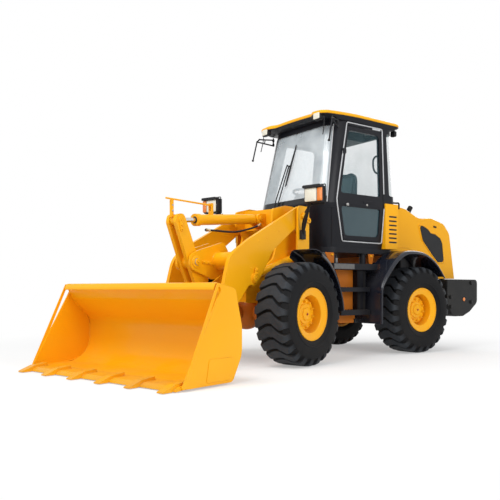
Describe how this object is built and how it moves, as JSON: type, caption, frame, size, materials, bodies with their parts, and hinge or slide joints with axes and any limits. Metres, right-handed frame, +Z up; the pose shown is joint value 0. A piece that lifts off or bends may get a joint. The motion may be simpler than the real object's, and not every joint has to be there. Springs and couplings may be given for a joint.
{
  "type": "articulated wheel loader",
  "caption": "Yellow articulated wheel loader with a Z-bar bucket linkage, glazed cab with doors, rear hood and four driven wheels, parked turned left.",
  "frame": {"origin": "middle of the bounding box bottom face, on the ground", "axes": "+X forward along the rear frame, +Y to the driver's left, +Z up"},
  "size_m": [5.9542, 2.7176, 2.892],
  "materials": {
    "body_paint": "gloss enamel, orange yellow",
    "black_paint": "satin black",
    "tyre_rubber": "matte",
    "black_plastic": "moulded, matte",
    "clear_glass": "clear, faint green",
    "pin_steel": "turned",
    "rod_chrome": "hard chrome",
    "engine_iron": "painted casting",
    "hose_rubber": "matte",
    "seat_cover": "woven",
    "lamp_lens": "moulded lens in black housing"
  },
  "bodies": {
    "rear_body": {"rear_frame": "body_paint", "rear_axle": "body_paint", "engine_block": "engine_iron", "louvre_panels": "body_paint", "counterweight": "black_paint", "rear_fenders": "black_paint", "access_steps": "black_paint", "step_hangers": "body_paint", "side_tanks": "black_paint", "cab_floor": "black_paint", "cab_frame": "black_paint", "roof_frame": "black_paint", "cab_roof": "body_paint", "windshield": "clear_glass", "rear_window": "clear_glass", "operator_seat": "seat_cover", "steering_column": "black_plastic", "control_console": "black_plastic", "ceiling_duct": "black_plastic", "roof_lamps": "lamp_lens", "mirror_brackets": "black_paint"},
    "hood": {"hood": "body_paint", "hood_grilles": "black_plastic", "exhaust_pipe": "black_paint"},
    "left_door": {"left_door": "black_paint", "left_door_glass": "clear_glass"},
    "right_door": {"right_door": "black_paint", "right_door_glass": "clear_glass"},
    "front_body": {"front_frame": "body_paint", "front_axle": "body_paint", "front_fenders": "black_paint", "headlamps": "black_plastic"},
    "steer_barrel_left": {"steer_barrel_left": "body_paint"},
    "steer_barrel_right": {"steer_barrel_right": "body_paint"},
    "steer_rod_left": {"steer_rod_left": "rod_chrome"},
    "steer_rod_right": {"steer_rod_right": "rod_chrome"},
    "boom": {"boom": "body_paint"},
    "crank_pin": {"crank_pin": "pin_steel"},
    "bell_crank": {"bell_crank": "body_paint"},
    "link_pin": {"link_pin": "pin_steel"},
    "bucket_link": {"bucket_link": "body_paint"},
    "bucket_pins": {"bucket_pins": "pin_steel"},
    "bucket": {"bucket": "body_paint", "cutting_edge": "body_paint"},
    "lift_barrels": {"lift_barrels": "body_paint"},
    "lift_rods": {"lift_rods": "rod_chrome"},
    "tilt_barrel": {"tilt_barrel": "body_paint", "tilt_hose": "hose_rubber"},
    "tilt_rod": {"tilt_rod": "body_paint"},
    "front_left_wheel": {"front_left_tyre": "tyre_rubber", "front_left_rim": "body_paint"},
    "front_right_wheel": {"front_right_tyre": "tyre_rubber", "front_right_rim": "body_paint"},
    "rear_left_wheel": {"rear_left_tyre": "tyre_rubber", "rear_left_rim": "body_paint"},
    "rear_right_wheel": {"rear_right_tyre": "tyre_rubber", "rear_right_rim": "body_paint"}
  },
  "joints": [
    {"name": "steer", "type": "hinge", "parent": "rear_body", "child": "front_body", "pos_m": [-0.48713, -0.42878, 0.76], "axis": [0, 0, 1], "range_deg": [-49, 21]},
    {"name": "steer_barrel_left_swing", "type": "hinge", "parent": "rear_body", "child": "steer_barrel_left", "pos_m": [-0.93713, -0.12878, 0.76], "axis": [0, 0, 1], "range_deg": [-16.41, 7.32]},
    {"name": "steer_rod_left_slide", "type": "slide", "parent": "steer_barrel_left", "child": "steer_rod_left", "axis": [0.9997, -0.0257, 0], "range_m": [-0.0924, 0.2117]},
    {"name": "steer_barrel_right_swing", "type": "hinge", "parent": "rear_body", "child": "steer_barrel_right", "pos_m": [-0.93713, -0.72878, 0.76], "axis": [0, 0, 1], "range_deg": [-15.84, 7.07]},
    {"name": "steer_rod_right_slide", "type": "slide", "parent": "steer_barrel_right", "child": "steer_rod_right", "axis": [0.9836, 0.1805, 0], "range_m": [-0.2236, 0.0976]},
    {"name": "boom_lift", "type": "hinge", "parent": "front_body", "child": "boom", "pos_m": [0.18237, -0.26185, 1.61], "axis": [0.2419, -0.9703, 0], "range_deg": [0, 88]},
    {"name": "lift_barrels_swing", "type": "hinge", "parent": "front_body", "child": "lift_barrels", "pos_m": [0.09504, -0.28362, 1.18], "axis": [0.2419, -0.9703, 0], "range_deg": [0, 73.32]},
    {"name": "lift_rods_slide", "type": "slide", "parent": "lift_barrels", "child": "lift_rods", "axis": [0.9292, 0.2317, -0.2878], "range_m": [0, 0.527]},
    {"name": "tilt_barrel_swing", "type": "hinge", "parent": "front_body", "child": "tilt_barrel", "pos_m": [0.4492, -0.19532, 1.589], "axis": [0.2419, -0.9703, 0], "range_deg": [0, 100.45]},
    {"name": "crank_pin_turn", "type": "hinge", "parent": "boom", "child": "crank_pin", "pos_m": [1.49227, 0.06474, 1.065], "axis": [0.2419, -0.9703, 0], "range_deg": [0, 38.75]},
    {"name": "bucket_tilt", "type": "hinge", "parent": "crank_pin", "child": "bell_crank", "pos_m": [1.49227, 0.06474, 1.065], "axis": [0.2419, -0.9703, 0], "range_deg": [-20, 22]},
    {"name": "tilt_rod_slide", "type": "slide", "parent": "tilt_barrel", "child": "tilt_rod", "axis": [0.9661, 0.2409, -0.0925], "range_m": [-0.165, 0.1501]},
    {"name": "bucket_pins_turn", "type": "hinge", "parent": "boom", "child": "bucket_pins", "pos_m": [1.77851, 0.13611, 0.28], "axis": [0.2419, -0.9703, 0], "range_deg": [-87.62, 0]},
    {"name": "bucket_turn", "type": "hinge", "parent": "bucket_pins", "child": "bucket", "pos_m": [1.77851, 0.13611, 0.28], "axis": [0.2419, -0.9703, 0], "range_deg": [-42.74, 38.9]},
    {"name": "link_pin_turn", "type": "hinge", "parent": "bucket", "child": "link_pin", "pos_m": [1.85322, 0.15474, 0.47], "axis": [0.2419, -0.9703, 0], "range_deg": [0, 58.98]},
    {"name": "bucket_link_turn", "type": "hinge", "parent": "link_pin", "child": "bucket_link", "pos_m": [1.85322, 0.15474, 0.47], "axis": [0.2419, -0.9703, 0], "range_deg": [-31.34, 34.42]},
    {"name": "left_door_open", "type": "hinge", "parent": "rear_body", "child": "left_door", "pos_m": [-0.53513, 0.19822, 2], "axis": [0, 0, -1], "range_deg": [0, 80]},
    {"name": "right_door_open", "type": "hinge", "parent": "rear_body", "child": "right_door", "pos_m": [-0.53513, -1.05578, 2], "axis": [0, 0, 1], "range_deg": [0, 80]},
    {"name": "hood_open", "type": "hinge", "parent": "rear_body", "child": "hood", "pos_m": [-2.89713, -0.42878, 0.96], "axis": [0, -1, 0], "range_deg": [0, 50]},
    {"name": "front_left_wheel_spin", "type": "hinge", "parent": "front_body", "child": "front_left_wheel", "pos_m": [0.45161, 0.53907, 0.537], "axis": [-0.2419, 0.9703, 0], "continuous": true},
    {"name": "front_right_wheel_spin", "type": "hinge", "parent": "front_body", "child": "front_right_wheel", "pos_m": [0.7961, -0.84263, 0.537], "axis": [-0.2419, 0.9703, 0], "continuous": true},
    {"name": "rear_left_wheel_spin", "type": "hinge", "parent": "rear_body", "child": "rear_left_wheel", "pos_m": [-1.63213, 0.28322, 0.537], "axis": [0, 1, 0], "continuous": true},
    {"name": "rear_right_wheel_spin", "type": "hinge", "parent": "rear_body", "child": "rear_right_wheel", "pos_m": [-1.63213, -1.14078, 0.537], "axis": [0, 1, 0], "continuous": true}
  ],
  "couplings": [
    {"joint": "steer_barrel_left_swing", "follows": "steer", "ratio": 0.3246},
    {"joint": "steer_rod_left_slide", "follows": "steer", "m_per_rad": -0.244},
    {"joint": "steer_barrel_right_swing", "follows": "steer", "ratio": 0.313},
    {"joint": "steer_rod_right_slide", "follows": "steer", "m_per_rad": 0.258},
    {"joint": "lift_barrels_swing", "follows": "boom_lift", "ratio": 0.8275},
    {"joint": "lift_rods_slide", "follows": "boom_lift", "m_per_rad": 0.3418},
    {"joint": "tilt_barrel_swing", "follows": "boom_lift", "ratio": 1.1358},
    {"joint": "crank_pin_turn", "follows": "boom_lift", "ratio": 0.4347},
    {"joint": "tilt_rod_slide", "follows": "bucket_tilt", "m_per_rad": -0.4244},
    {"joint": "bucket_pins_turn", "follows": "boom_lift", "ratio": -0.99},
    {"joint": "bucket_turn", "follows": "bucket_tilt", "ratio": -1.92},
    {"joint": "link_pin_turn", "follows": "boom_lift", "ratio": 0.6645},
    {"joint": "bucket_link_turn", "follows": "bucket_tilt", "ratio": 1.542}
  ]
}
